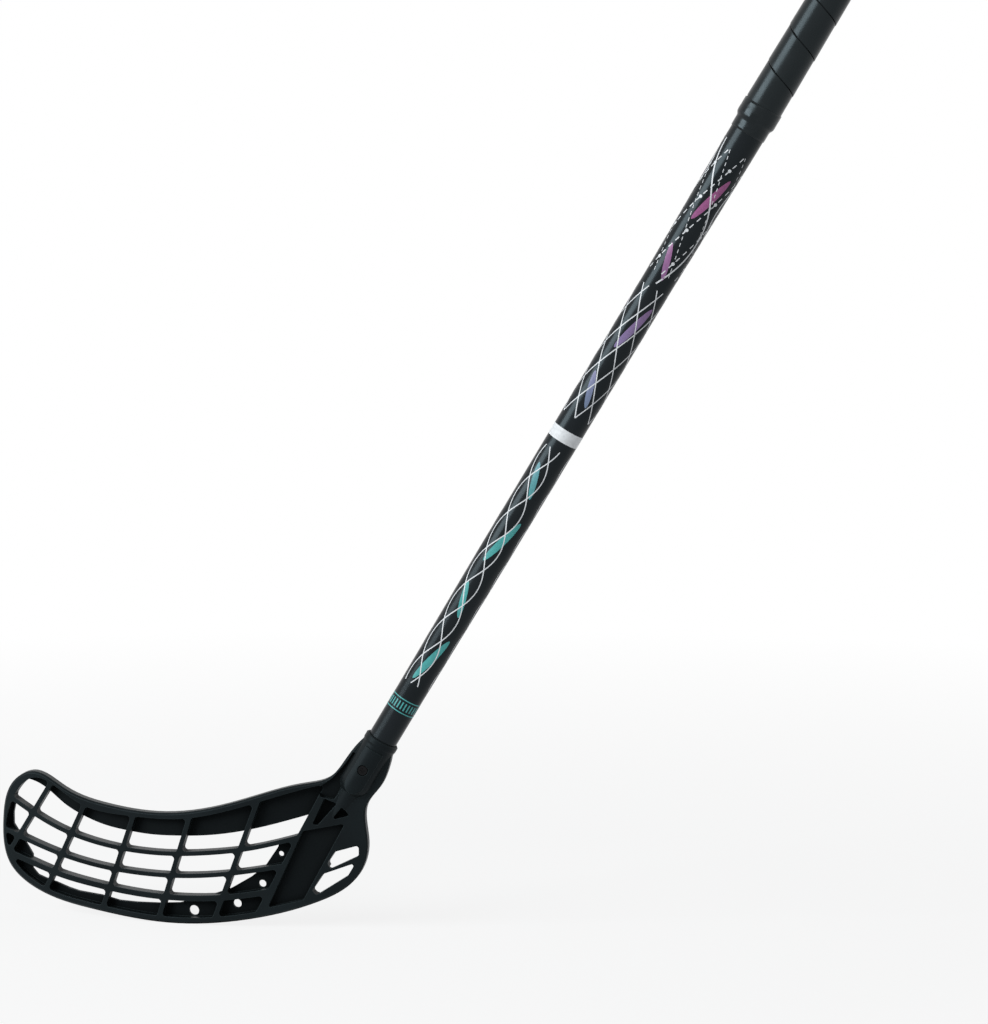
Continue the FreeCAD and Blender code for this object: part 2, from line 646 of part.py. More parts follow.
# Round holes through the web along the sole and up the heel block.
HOLE_SHARES = [
    ((0.467, 0.076), "sole_hole_diameter"),
    ((0.352, 0.140), "corner_hole_diameter"),
    ((0.286, 0.288), "middle_hole_diameter"),
    ((0.237, 0.504), "upper_hole_diameter"),
]
holes = []
for place, diameter in HOLE_SHARES:
    spot = blade_point(*place) - Vector(0, cut_reach, 0)
    holes.append(Part.makeCylinder(size(diameter) / 2, 2 * cut_reach, spot, Vector(0, 1, 0)))
web_holes = solid_feature("web_holes", Part.makeCompound(holes))

# Heel block: a slanted recess, two deep pockets under the neck, and two slots in a thin heel web.
RECESS_SHARES = [(0.177, 0.681), (0.068, 0.742), (0.176, 0.193), (0.268, 0.131)]
LONG_POCKET_SHARES = [(0.121, 0.916), (0.088, 0.881), (0.139, 0.725), (0.152, 0.732)]
SMALL_POCKET_SHARES = [(0.0755, 0.861), (0.0554, 0.798), (0.1034, 0.765)]
UPPER_SLOT_SHARES = [(0.114, 0.458), (0.094, 0.541), (0.033, 0.590), (0.033, 0.516), (0.106, 0.418)]
LOWER_SLOT_SHARES = [(0.154, 0.260), (0.124, 0.382), (0.041, 0.466), (0.061, 0.374), (0.142, 0.230)]
HEEL_POCKET_SHARES = [
    (0.150, 0.262), (0.062, 0.640), (0.025, 0.600), (0.027, 0.45), (0.057, 0.345), (0.132, 0.212),
]


def shares_prism(shares, rounding):
    return rounded_prism(blade_places(shares), size(rounding))


recess_layer = hooked_layer(-cut_reach, size("recess_depth") - half)
deep_layer = hooked_layer(-cut_reach, size("pocket_depth") - half)
heel_layer = hooked_layer(size("heel_web_thickness") - half, cut_reach)
recess = solid_feature("heel_recess", shares_prism(RECESS_SHARES, "pocket_rounding").common(recess_layer))
pockets = solid_feature("neck_pockets", Part.makeCompound([
    shares_prism(LONG_POCKET_SHARES, "pocket_rounding").common(deep_layer),
    shares_prism(SMALL_POCKET_SHARES, "pocket_rounding").common(deep_layer),
]))
slots = solid_feature("heel_slots", Part.makeCompound([
    shares_prism(UPPER_SLOT_SHARES, "slot_rounding"), shares_prism(LOWER_SLOT_SHARES, "slot_rounding"),
]))
heel_pocket = solid_feature("heel_pocket", shares_prism(HEEL_POCKET_SHARES, "slot_rounding").common(heel_layer))

# Socket for the shaft, with a counterbored screw hole on each side.
socket = doc.addObject("Part::Cylinder", "socket")
socket.setExpression("Radius", "Sizes.socket_radius")
socket.setExpression("Height", "Sizes.socket_depth + Sizes.cut_overrun")
lean(socket, 270)
down_shaft(socket, "-Sizes.cut_overrun")
HEAD_SEAT = "Sizes.head_seat"
HEAD_ROOM = "Sizes.head_radius + Sizes.counterbore_clearance"
neck_drills = []
for side, depth in ((-1, BACK_SCREW), (1, FRONT_SCREW)):
    face_name = "back" if side < 0 else "front"
    neck_drills.append(screw_drill("neck_hole_" + face_name, PILOT, "Sizes.shank_radius", depth, side))
    neck_drills.append(screw_drill("counterbore_" + face_name, HEAD_ROOM, HEAD_SEAT, depth, side))

blade_body = fused("blade_body", [grooved, neck, keel, tongue])
cuts = fused("blade_cuts", [grid_cut, web_holes, recess, pockets, slots, heel_pocket, socket] + neck_drills)
blade = boolean("Part::Cut", "blade", blade_body, cuts)
down_shaft(blade, "Sizes.collar_reach")

# Screws: a flat head with a cross slot on a plain shank, one from each side.
def screw_solid(side, depth):
    # Turned along Y: head outside on its seat, end of the shank inside the tube.
    seat = size("head_seat")
    r, h = size("shank_radius"), size("head_radius")
    head_top = size("screw_head_height")
    shank_end = seat - size("screw_length")
    corners = [
        Vector(0, 0, shank_end), Vector(r, 0, shank_end), Vector(r, 0, seat), Vector(h, 0, seat),
        Vector(h, 0, seat + head_top), Vector(0, 0, seat + head_top),
    ]
    turned = Part.Face(Part.makePolygon(corners + corners[:1])).revolve(Vector(), Vector(0, 0, 1), 360)
    wide, long, deep = size("screw_drive_width"), size("screw_drive_length"), size("screw_drive_depth")
    floor = seat + head_top - deep
    bars = [
        Part.makeBox(wide, long, deep + head_top, Vector(-wide / 2, -long / 2, floor)),
        Part.makeBox(long, wide, deep + head_top, Vector(-long / 2, -wide / 2, floor)),
    ]
    turned = turned.cut(bars[0].fuse(bars[1])).Solids[0]
    turned.rotate(Vector(), Vector(1, 0, 0), -90 * side)
    turned.translate(neck_point(depth, 0))
    return turned


blade_screws = solid_feature("blade_screws", Part.makeCompound([
    screw_solid(-1, size("screw_depth")), screw_solid(1, size("screw_depth") - size("screw_spacing")),
]))
down_shaft(blade_screws, "Sizes.collar_reach")
doc.recompute()

PIECES = [shaft, blade, blade_screws, grip_tape, grip_finishing_band, end_knob]
for obj in doc.Objects:
    if "Invalid" in obj.State or "Error" in obj.State:
        raise RuntimeError("%s did not build" % obj.Name)
for piece in PIECES:
    piece.Label = piece.Name
    if piece.Shape.isNull() or not piece.Shape.isValid():
        raise RuntimeError("%s has no valid shape" % piece.Name)

# Least gap between neighbouring turns of the grip tape, measured on points of its two edges.
upper, lower = [], []
STEPS_PER_TURN = 24
turns = size("grip_length") / size("tape_pitch")
for step in range(int(STEPS_PER_TURN * turns)):
    angle = 2 * math.pi * step / STEPS_PER_TURN
    rise = size("tape_pitch") * step / STEPS_PER_TURN
    for radius in (size("tape_bore"), size("tape_radius")):
        spot = Vector(radius * math.cos(angle), radius * math.sin(angle), rise)
        lower.append(spot)
        upper.append(spot + Vector(0, 0, size("tape_seam")))
least = min((a - b).Length for a in lower for b in upper)
print("least gap between turns of the grip tape: %.2f mm" % least)

os.makedirs("parts", exist_ok=True)
for piece in PIECES:
    piece.Shape.exportStep("parts/%s.step" % piece.Label)
    box = piece.Shape.BoundBox
    print("%s: %d solids, %.0f mm3, x %.1f..%.1f y %.1f..%.1f z %.1f..%.1f" % (
        piece.Label, len(piece.Shape.Solids), piece.Shape.Volume, box.XMin, box.XMax, box.YMin, box.YMax,
        box.ZMin, box.ZMax))
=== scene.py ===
import math
import bpy
from mathutils import Matrix, Vector


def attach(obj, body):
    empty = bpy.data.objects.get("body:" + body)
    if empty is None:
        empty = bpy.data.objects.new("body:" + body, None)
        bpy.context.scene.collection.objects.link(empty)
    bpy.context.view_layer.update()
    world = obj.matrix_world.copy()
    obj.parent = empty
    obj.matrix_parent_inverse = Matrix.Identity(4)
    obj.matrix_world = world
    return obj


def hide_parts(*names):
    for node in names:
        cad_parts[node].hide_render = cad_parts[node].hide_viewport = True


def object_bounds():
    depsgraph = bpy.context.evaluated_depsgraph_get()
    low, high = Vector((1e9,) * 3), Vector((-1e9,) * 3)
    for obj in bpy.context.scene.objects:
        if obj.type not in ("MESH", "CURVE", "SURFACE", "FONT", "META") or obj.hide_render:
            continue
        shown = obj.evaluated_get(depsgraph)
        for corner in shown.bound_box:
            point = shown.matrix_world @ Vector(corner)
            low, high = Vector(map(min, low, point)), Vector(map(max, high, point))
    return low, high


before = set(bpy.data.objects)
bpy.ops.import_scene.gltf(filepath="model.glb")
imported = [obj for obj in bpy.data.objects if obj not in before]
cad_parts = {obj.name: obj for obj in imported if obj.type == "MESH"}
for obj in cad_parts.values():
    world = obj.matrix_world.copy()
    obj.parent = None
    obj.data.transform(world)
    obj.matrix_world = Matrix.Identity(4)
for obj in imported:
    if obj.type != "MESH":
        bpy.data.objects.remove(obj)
cad_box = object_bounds()

# Shaft: a hollow fibre composite tube, slim at the blade and wider under the grip.
# It is sprayed with satin black lacquer, and the blade is pushed on its lower end.
LIE = math.radians(59.1)
UP_SHAFT = Vector((math.cos(LIE), 0.0, math.sin(LIE)))
ACROSS = Vector((math.sin(LIE), 0.0, -math.cos(LIE)))
FRONT = Vector((0.0, -1.0, 0.0))
HOLD_FROM_TIP = 0.800
# Distance from the tip and the tube's radius there.
SHAFT_STATIONS = [(0.0, 0.0112), (0.080, 0.0112), (0.200, 0.0120),
                  (0.440, 0.0120), (0.556, 0.0132), (0.990, 0.0132)]
LACQUER = (0.0048, 0.0056, 0.0068, 1.0)
LACQUER_WORN = (0.0080, 0.0091, 0.0108, 1.0)
LACQUER_ROUGH = (0.21, 0.28)
COOL_SHEEN = (0.74, 0.92, 1.0, 1.0)
# Values between which a noise runs from its low to its high end.
NOISE_RANGE = (0.3, 0.7)


def node_of(tree, kind, inputs=None, **settings):
    made = tree.nodes.new(kind)
    for name, value in settings.items():
        setattr(made, name, value)
    for socket, value in (inputs or {}).items():
        if isinstance(value, bpy.types.NodeSocket):
            tree.links.new(value, made.inputs[socket])
        else:
            made.inputs[socket].default_value = value
    return made


def finish_of(name):
    # New material with its node tree, its shader and a place coordinate in metres.
    material = bpy.data.materials.new(name)
    material.use_nodes = True
    tree = material.node_tree
    place = node_of(tree, "ShaderNodeTexCoord").outputs["Object"]
    return material, tree, tree.nodes["Principled BSDF"], place


def noise_of(tree, place, scale, detail=3.0):
    return node_of(tree, "ShaderNodeTexNoise", {
        "Vector": place, "Scale": scale, "Detail": detail}).outputs["Fac"]


def spread(tree, value, to, over=NOISE_RANGE):
    # Maps a value from one range to another, such as a noise to a roughness.
    return node_of(tree, "ShaderNodeMapRange", {
        "Value": value, "From Min": over[0], "From Max": over[1],
        "To Min": to[0], "To Max": to[1]}).outputs["Result"]


def blend_of(tree, value, colours, shares=NOISE_RANGE):
    # Colours that change over with a value, each full at its share.
    ramp = node_of(tree, "ShaderNodeValToRGB", {"Fac": value})
    stops = ramp.color_ramp.elements
    while len(stops) < len(colours):
        stops.new(0.5)
    for stop, share, colour in zip(stops, shares, colours):
        stop.position = share
        stop.color = colour
    return ramp.outputs["Color"]


def bump_of(tree, height, strength, distance):
    return node_of(tree, "ShaderNodeBump", {
        "Height": height, "Strength": strength, "Distance": distance}).outputs["Normal"]


def skin(tree, shader, value, colours, rough, relief):
    # Colour and roughness follow one noise, over a fine relief.
    tree.links.new(blend_of(tree, value, colours), shader.inputs["Base Color"])
    tree.links.new(spread(tree, value, rough), shader.inputs["Roughness"])
    tree.links.new(relief, shader.inputs["Normal"])


def wear(name, finish):
    # Puts a finish on a piece that is kept from the construction.
    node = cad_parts[name]
    node.data.materials.clear()
    node.data.materials.append(finish)
    return node


def lacquer_finish():
    material, tree, shader, place = finish_of("shaft_lacquer_satin")
    cloudy = noise_of(tree, place, scale=26.0)
    mist = noise_of(tree, place, scale=1500.0, detail=2.0)
    relief = bump_of(tree, mist, strength=0.10, distance=0.0001)
    skin(tree, shader, cloudy, (LACQUER, LACQUER_WORN), LACQUER_ROUGH, relief)
    shader.inputs["Specular IOR Level"].default_value = 0.18
    shader.inputs["Specular Tint"].default_value = COOL_SHEEN
    return material


wear("shaft", lacquer_finish())

# Print on the shaft: thin ink laid on the lacquer, in white and in a colour that runs from teal to pink.
# Braids of waves, a net of crossing lines, broken lines, dots and leaf-shaped strokes wrap round the tube,
# with one plain white ring in the middle and a row of ticks near the blade.
FULL_TURN = 2 * math.pi
COLOUR_LIFT = 0.00004
WHITE_LIFT = 0.00006
HAIR_LINE = 0.0005
FINE_LINE = 0.0008
BOLD_LINE = 0.0011
COLLAR_AT = 0.0375
RING_AT = COLLAR_AT + 0.2688
RING_WIDTH = 0.0095
TICK_EDGES = (COLLAR_AT + 0.0265, COLLAR_AT + 0.0365)
TICK_ENDS = (COLLAR_AT + 0.0285, COLLAR_AT + 0.0345)
TICKS = 26
BRAIDS = 3
STRANDS = 3
BRAID_ENDS = (COLLAR_AT + 0.050, RING_AT - 0.012)
BRAID_TURN = -0.28
BRAID_SWING = 0.62
BRAID_WAVES = 2.2
# Half the rise up the shaft, half the turn round it and the width of the long and the short stroke.
LEAF_KINDS = ((0.019, 0.44, 0.0056), (0.014, -0.34, 0.0046))
LEAVES = 4
LOW_LEAF_AT = COLLAR_AT + 0.073
LOW_LEAF_STEP = 0.052
LOW_LEAF_TURNS = (0.10, -0.15)
HIGH_LEAF_AT = RING_AT + 0.040
HIGH_LEAF_STEP = 0.055
HIGH_LEAF_TURNS = (-0.10, 0.25)
NET_LINES = 6
NET_ENDS = (RING_AT + 0.016, RING_AT + 0.128)
NET_TURNS = 0.62
DASH_START = RING_AT + 0.140
DASH_RISE = 0.106
DASH_TURNS = 0.45
DASHES = 16
DASH_SHARE = 0.55
HAIR_TURNS = -0.30
HAIR_LEAD = 0.5
HAIR_DASHES = 22
DOT_SHARES = (0.1, 0.35, 0.6, 0.85)
DOT_RADIUS = 0.0013
BOLD_ENDS = (RING_AT + 0.132, RING_AT + 0.250)
BOLD_LEADS = (0.0, 0.33, 0.66)
BOLD_SWING = 1.0
BOLD_WAVES = 0.75
# Widest part of a strip that stays flat, and the steps that a curve is drawn in.
STRIP_PART = 0.0014
TURN_STEPS = 72
LEAST_STEPS = 8
WAVE_STEPS = 64
LEAF_STEPS = 24
DOT_STEPS = 10
# Just over 1, so that the tips of an oval keep some width.
OVAL_FULL = 1.01
WHITE_INK = (0.78, 0.80, 0.82, 1.0)
TEAL_INK = (0.075, 0.38, 0.37, 1.0)
VIOLET_INK = (0.23, 0.19, 0.37, 1.0)
PINK_INK = (0.34, 0.10, 0.25, 1.0)
INK_ROUGH = (0.34, 0.46)
# Heights along the shaft, from the hold, over which the colour runs, and the share of that at each colour.
INK_RUN = (-0.66, -0.28)
INK_SHARES = (0.25, 0.62, 0.95)
RUBBED_OVER = (0.45, 0.75)
RUBBED_SHARE = (0.0, 0.14)
NONE_TO_FULL = (0.0, 1.0)


def shaft_radius(reach):
    for (low, low_radius), (high, high_radius) in zip(SHAFT_STATIONS, SHAFT_STATIONS[1:]):
        if reach <= high:
            return low_radius + (high_radius - low_radius) * (reach - low) / (high - low)
    return SHAFT_STATIONS[-1][1]


def on_shaft(reach, turn, radius):
    # Point at a distance from the tip, turned from the front towards the side that leans down.
    side = FRONT * math.cos(turn) + ACROSS * math.sin(turn)
    return UP_SHAFT * (reach - HOLD_FROM_TIP) + side * radius


def piece_of(name, points, faces, finish, slot):
    mesh = bpy.data.meshes.new(name)
    mesh.from_pydata([tuple(p) for p in points], [], faces)
    mesh.validate()
    mesh.polygons.foreach_set("use_smooth", [True] * len(mesh.polygons))
    mesh.materials.append(finish)
    piece = bpy.data.objects.new(name, mesh)
    bpy.context.scene.collection.objects.link(piece)
    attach(piece, "root")
    return piece


def span(low, high, steps):
    return [low + (high - low) * i / steps for i in range(steps + 1)]


def oval(shares, width):
    # Widths of a stroke that is full in the middle and narrow at its tips.
    return [width * math.sqrt(OVAL_FULL - t * t) for t in shares]


class Ink:
    # Strips of ink of one colour, gathered into one piece.
    def __init__(self, lift):
        self.lift = lift
        self.points = []
        self.faces = []

    def strip(self, line, widths):
        # line holds (reach, turn) pairs; each strip keeps its widths on the rolled-out tube.
        parts = max(1, math.ceil(max(widths) / STRIP_PART))
        for i, (reach, turn) in enumerate(line):
            radius = shaft_radius(reach)
            before = line[max(i - 1, 0)]
            after = line[min(i + 1, len(line) - 1)]
            along = after[0] - before[0]
            round_about = (after[1] - before[1]) * radius
            length = math.hypot(along, round_about)
            shift_along = -round_about / length * widths[i] / 2
            shift_turn = along / length * widths[i] / 2 / radius
            row = len(self.points)
            for side in span(-1.0, 1.0, parts):
                spot = reach + side * shift_along
                height = shaft_radius(spot) + self.lift
                self.points.append(on_shaft(spot, turn + side * shift_turn, height))
            if i:
                for k in range(row, row + parts):
                    self.faces.append((k - parts - 1, k - parts, k + 1, k))

    def line(self, spots, width):
        self.strip(spots, [width] * len(spots))

    def ring(self, reach, width):
        self.line([(reach, turn) for turn in span(0.0, FULL_TURN, TURN_STEPS)], width)

    def climb(self, start, end, first_turn, turns, width):
        # Line that climbs round the tube at an even slope.
        steps = int(TURN_STEPS * abs(turns)) + LEAST_STEPS
        self.line([(start + (end - start) * t, first_turn + FULL_TURN * turns * t)
                   for t in span(0.0, 1.0, steps)], width)

    def broken_climb(self, start, end, first_turn, turns, width, count):
        dash = DASH_SHARE / count
        for low in span(0.0, 1.0, count)[:-1]:
            self.climb(start + (end - start) * low, start + (end - start) * (low + dash),
                       first_turn + FULL_TURN * turns * low, turns * dash, width)

    def wave(self, start, end, middle, swing, waves, width, lead):
        self.line([(start + (end - start) * t, middle + swing * math.sin(FULL_TURN * (waves * t + lead)))
                   for t in span(0.0, 1.0, int(WAVE_STEPS * waves))], width)

    def leaf(self, reach, middle, half_rise, half_turn, width):
        # Brush stroke laid slanted across the tube, widest in the middle.
        shares = span(-1.0, 1.0, LEAF_STEPS)
        self.strip([(reach + half_rise * t, middle + half_turn * t) for t in shares], oval(shares, width))

    def dot(self, reach, turn, radius):
        shares = span(-1.0, 1.0, DOT_STEPS)
        self.strip([(reach + radius * t, turn) for t in shares], oval(shares, 2 * radius))

    def piece(self, name, finish):
        piece_of(name, self.points, self.faces, finish, "shaft_lacquer")


def vector_value(tree, operation, first, second=(0.0, 0.0, 0.0)):
    return node_of(tree, "ShaderNodeVectorMath", {0: first, 1: second}, operation=operation).outputs["Value"]


def mixed(tree, share, low, high):
    return node_of(tree, "ShaderNodeMix", {"Factor": share, 6: low, 7: high}, data_type="RGBA").outputs[2]


def ink_finish(name, colours):
    # Ink whose colour runs up the shaft, slightly thin and rubbed.
    material, tree, shader, place = finish_of(name)
    up = spread(tree, vector_value(tree, "DOT_PRODUCT", place, UP_SHAFT), NONE_TO_FULL, INK_RUN)
    fresh = blend_of(tree, up, colours, INK_SHARES)
    patchy = noise_of(tree, place, scale=420.0)
    wear_and_edge_highlight = mixed(tree, spread(tree, patchy, RUBBED_SHARE, RUBBED_OVER), fresh, LACQUER_WORN)
    relief = bump_of(tree, patchy, strength=0.15, distance=0.0001)
    tree.links.new(wear_and_edge_highlight, shader.inputs["Base Color"])
    tree.links.new(spread(tree, patchy, INK_ROUGH), shader.inputs["Roughness"])
    tree.links.new(relief, shader.inputs["Normal"])
    shader.inputs["Specular IOR Level"].default_value = 0.30
    return material


white = Ink(WHITE_LIFT)
tint = Ink(COLOUR_LIFT)
white.ring(RING_AT, RING_WIDTH)
for reach in TICK_EDGES:
    tint.ring(reach, FINE_LINE)
for turn in span(0.0, FULL_TURN, TICKS)[:-1]:
    tint.line([(reach, turn) for reach in TICK_ENDS], BOLD_LINE)
for side in range(BRAIDS):
    middle = FULL_TURN * side / BRAIDS
    for strand in range(STRANDS):
        white.wave(*BRAID_ENDS, middle + BRAID_TURN, BRAID_SWING, BRAID_WAVES, FINE_LINE, strand / STRANDS)
    for number in range(LEAVES):
        odd = number % 2
        tint.leaf(LOW_LEAF_AT + LOW_LEAF_STEP * number, middle + LOW_LEAF_TURNS[odd], *LEAF_KINDS[odd])
        tint.leaf(HIGH_LEAF_AT + HIGH_LEAF_STEP * number, middle + HIGH_LEAF_TURNS[odd], *LEAF_KINDS[1 - odd])
for number in range(NET_LINES):
    turn = FULL_TURN * number / NET_LINES
    dash_end = DASH_START + DASH_RISE
    white.climb(*NET_ENDS, turn, NET_TURNS, FINE_LINE)
    white.climb(*NET_ENDS, turn, -NET_TURNS, FINE_LINE)
    white.broken_climb(DASH_START, dash_end, turn, DASH_TURNS, FINE_LINE, DASHES)
    white.broken_climb(DASH_START, dash_end, turn + HAIR_LEAD, HAIR_TURNS, HAIR_LINE, HAIR_DASHES)
    for share in DOT_SHARES:
        white.dot(DASH_START + DASH_RISE * share, turn + FULL_TURN * DASH_TURNS * share, DOT_RADIUS)
for lead in BOLD_LEADS:
    white.wave(*BOLD_ENDS, FULL_TURN * lead, BOLD_SWING, BOLD_WAVES, BOLD_LINE, lead)
white.piece("shaft_print_white", ink_finish("white_ink", (WHITE_INK, WHITE_INK, WHITE_INK)))
tint.piece("shaft_print_colour", ink_finish("running_colour_ink", (TEAL_INK, VIOLET_INK, PINK_INK)))

# Blade: one injection moulding of tough plastic, an open grid with a rim, webs and a socketed neck.
# The mould leaves a fine satin grain. A painted highlight makes the eased edges paler, and painted shade
# darkens corners and recess floors, which are also rougher.
# Colour of the painted shade in corners and recess floors.
BLADE_PAINTED_SHADE = (0.0014, 0.0016, 0.0017, 1.0)
BLADE_BLACK = (0.0038, 0.0050, 0.0056, 1.0)
BLADE_SHEEN = (0.0074, 0.0105, 0.0118, 1.0)
# Colour of the painted highlight along the eased edges.
BLADE_PAINTED_EDGE_HIGHLIGHT = (0.048, 0.066, 0.072, 1.0)
HALF_THICKNESS = 0.00525
HOOK_START = -0.4616
HOOK_RADIUS = 0.640
EASED_EDGE = 0.0008
# How far the painted shade in corners reaches, and the openness that runs from a deep corner to a free face.
CORNER_REACH = 0.009
CORNER_OPEN = (0.40, 0.92)
# Depth and lean that make a face the floor of a recess, and how proud such a floor counts, which sets its
# painted shade and its roughness.
SUNK_DEPTH = (0.002, 0.0035)
FLOOR_LEAN = (0.6, 0.8)
FLOOR_PROUD = (1.0, 0.22)
# Turn of the eased edge away from its face over which the painted edge highlight fades, and its share.
EDGE_HIGHLIGHT_FACING = (0.80, 0.97)
EDGE_HIGHLIGHT_SHARE = (0.6, 0.0)
BLADE_ROUGH = (0.80, 0.36)
FLOW_ROUGH = (0.0, 0.08)


def math_of(tree, operation, first, second=0.0):
    return node_of(tree, "ShaderNodeMath", {0: first, 1: second}, operation=operation).outputs["Value"]


def sunk_floor(tree, place, true_face):
    # 1 on the floor of a recess on either side of the hooked plate, 0 on its outer faces and walls.
    spot = node_of(tree, "ShaderNodeSeparateXYZ", {0: place}).outputs
    run = math_of(tree, "MAXIMUM", math_of(tree, "SUBTRACT", HOOK_START, spot["X"]))
    out = math_of(tree, "SUBTRACT", HOOK_RADIUS, spot["Y"])
    from_axis = node_of(tree, "ShaderNodeCombineXYZ", {"X": run, "Y": out}).outputs["Vector"]
    offset = math_of(tree, "SUBTRACT", HOOK_RADIUS, vector_value(tree, "LENGTH", from_axis))
    lean = node_of(tree, "ShaderNodeSeparateXYZ", {0: true_face}).outputs["Y"]
    outward = math_of(tree, "MULTIPLY", offset, math_of(tree, "SIGN", lean))
    deep = spread(tree, math_of(tree, "SUBTRACT", HALF_THICKNESS, outward), NONE_TO_FULL, SUNK_DEPTH)
    level = spread(tree, math_of(tree, "ABSOLUTE", lean), NONE_TO_FULL, FLOOR_LEAN)
    return math_of(tree, "MULTIPLY", deep, level)


def blade_finish():
    material, tree, shader, place = finish_of("blade_plastic_satin")
    flow = noise_of(tree, place, scale=18.0)
    grain = noise_of(tree, place, scale=2200.0, detail=2.0)
    eased = node_of(tree, "ShaderNodeBevel", {"Radius": EASED_EDGE}, samples=4).outputs["Normal"]
    true_face = node_of(tree, "ShaderNodeNewGeometry").outputs["True Normal"]
    # Painted shade: occlusion finds the corners, and corners and recess floors are darkened to the shade
    # colour.
    corner = node_of(tree, "ShaderNodeAmbientOcclusion", {"Distance": CORNER_REACH}, samples=8).outputs["AO"]
    free = spread(tree, corner, NONE_TO_FULL, CORNER_OPEN)
    raised = spread(tree, sunk_floor(tree, place, true_face), FLOOR_PROUD, NONE_TO_FULL)
    proud = math_of(tree, "MULTIPLY", free, raised)
    body = mixed(tree, proud, BLADE_PAINTED_SHADE, blend_of(tree, flow, (BLADE_BLACK, BLADE_SHEEN)))
    # Painted highlight: the colour turns paler on eased edges, where the bevel normal leans away from the
    # face.
    wear_and_edge_highlight = spread(tree, vector_value(tree, "DOT_PRODUCT", eased, true_face), EDGE_HIGHLIGHT_SHARE, EDGE_HIGHLIGHT_FACING)
    dull = spread(tree, proud, BLADE_ROUGH, NONE_TO_FULL)
    rough = math_of(tree, "ADD", dull, spread(tree, flow, FLOW_ROUGH))
    relief = node_of(tree, "ShaderNodeBump", {
        "Height": grain, "Strength": 0.18, "Distance": 0.0001, "Normal": eased}).outputs["Normal"]
    tree.links.new(mixed(tree, wear_and_edge_highlight, body, BLADE_PAINTED_EDGE_HIGHLIGHT), shader.inputs["Base Color"])
    tree.links.new(rough, shader.inputs["Roughness"])
    tree.links.new(relief, shader.inputs["Normal"])
    shader.inputs["Specular IOR Level"].default_value = 0.11
    shader.inputs["Specular Tint"].default_value = COOL_SHEEN
    return material


wear("blade", blade_finish())

# Blade screws: two small plated steel screws, one on each side of the neck.
# Their heads sink into the counterbores and the cross slots are stamped. Their near-black colour is painted
# shade for the dark counterbores.
SCREW_SHADED_STEEL = (0.018, 0.0185, 0.0195, 1.0)
SCREW_SHADED_DULL = (0.006, 0.006, 0.0065, 1.0)
SCREW_ROUGH = (0.25, 0.42)
BRUSH_STRETCH = (1.0, 1.0, 9.0)


def stretched(tree, place, scale):
    return node_of(tree, "ShaderNodeMapping", {"Vector": place, "Scale": scale}).outputs["Vector"]


def screw_finish():
    material, tree, shader, place = finish_of("screw_steel_painted_shade")
    brushed = noise_of(tree, stretched(tree, place, BRUSH_STRETCH), scale=900.0)
    relief = bump_of(tree, brushed, strength=0.2, distance=0.00005)
    skin(tree, shader, brushed, (SCREW_SHADED_DULL, SCREW_SHADED_STEEL), SCREW_ROUGH, relief)
    shader.inputs["Metallic"].default_value = 1.0
    return material


wear("blade_screws", screw_finish())

# Grip tape: one long strip of soft foam tape with a smooth satin skin, wound up the shaft.
# Each turn presses its lower edge on the turn below, which leaves a thin slanted seam.
GRIP_START = 0.578
GRIP_END = 0.990
TAPE_BORE = 0.01325
TAPE_TOP = 0.01475
TAPE_PITCH = 0.030
TAPE_SEAM = 0.0005
TAPE_STEP = 0.00035
TAPE_STEPS = 64
TIP_TURN = 0.04
SEAM_TURN = 1.13
GRIP_BLACK = (0.0050, 0.0058, 0.0062, 1.0)
GRIP_GREY = (0.0085, 0.0096, 0.0102, 1.0)
GRIP_ROUGH = (0.24, 0.31)
# Share of the strip's width, and how many of TAPE_STEP the skin lies under the top there.
SKIN_SHARES = [(0.0, 1.6), (0.004, 0.5), (0.012, 0.0), (0.03, 0.02), (0.5, 0.5),
               (0.965, 0.98), (0.985, 1.0), (0.994, 1.3), (1.0, 2.2)]


def grip_finish():
    material, tree, shader, place = finish_of("grip_foam_skin")
    cloudy = noise_of(tree, place, scale=60.0)
    pores = noise_of(tree, place, scale=3200.0, detail=2.0)
    relief = bump_of(tree, pores, strength=0.12, distance=0.0001)
    skin(tree, shader, cloudy, (GRIP_BLACK, GRIP_GREY), GRIP_ROUGH, relief)
    shader.inputs["Specular IOR Level"].default_value = 0.24
    shader.inputs["Specular Tint"].default_value = COOL_SHEEN
    return material


def wound_tape():
    # The strip's section carried up the shaft; at both ends it is cut level, so it tapers out over a turn.
    width = TAPE_PITCH - TAPE_SEAM
    section = [(share, TAPE_TOP - step * TAPE_STEP) for share, step in SKIN_SHARES]
    section += [(1.0, TAPE_BORE), (0.0, TAPE_BORE)]
    count = len(section)
    turns = (GRIP_END - GRIP_START) / TAPE_PITCH + 1.0
    points = []
    faces = [tuple(reversed(range(count)))]
    for wound in span(TIP_TURN, turns - TIP_TURN, int(TAPE_STEPS * turns)):
        lower = GRIP_START + TAPE_PITCH * (wound - 1.0)
        low = max(lower, GRIP_START)
        high = min(lower + width, GRIP_END)
        k = len(points)
        for share, radius in section:
            points.append(on_shaft(low + share * (high - low), SEAM_TURN - FULL_TURN * wound, radius))
        if k:
            for i in range(count):
                j = (i + 1) % count
                faces.append((k - count + j, k + j, k + i, k - count + i))
    faces.append(tuple(range(len(points) - count, len(points))))
    return points, faces


tape = piece_of("grip_tape_wound", *wound_tape(), grip_finish(), "grip_rubber")
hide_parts("grip_tape")

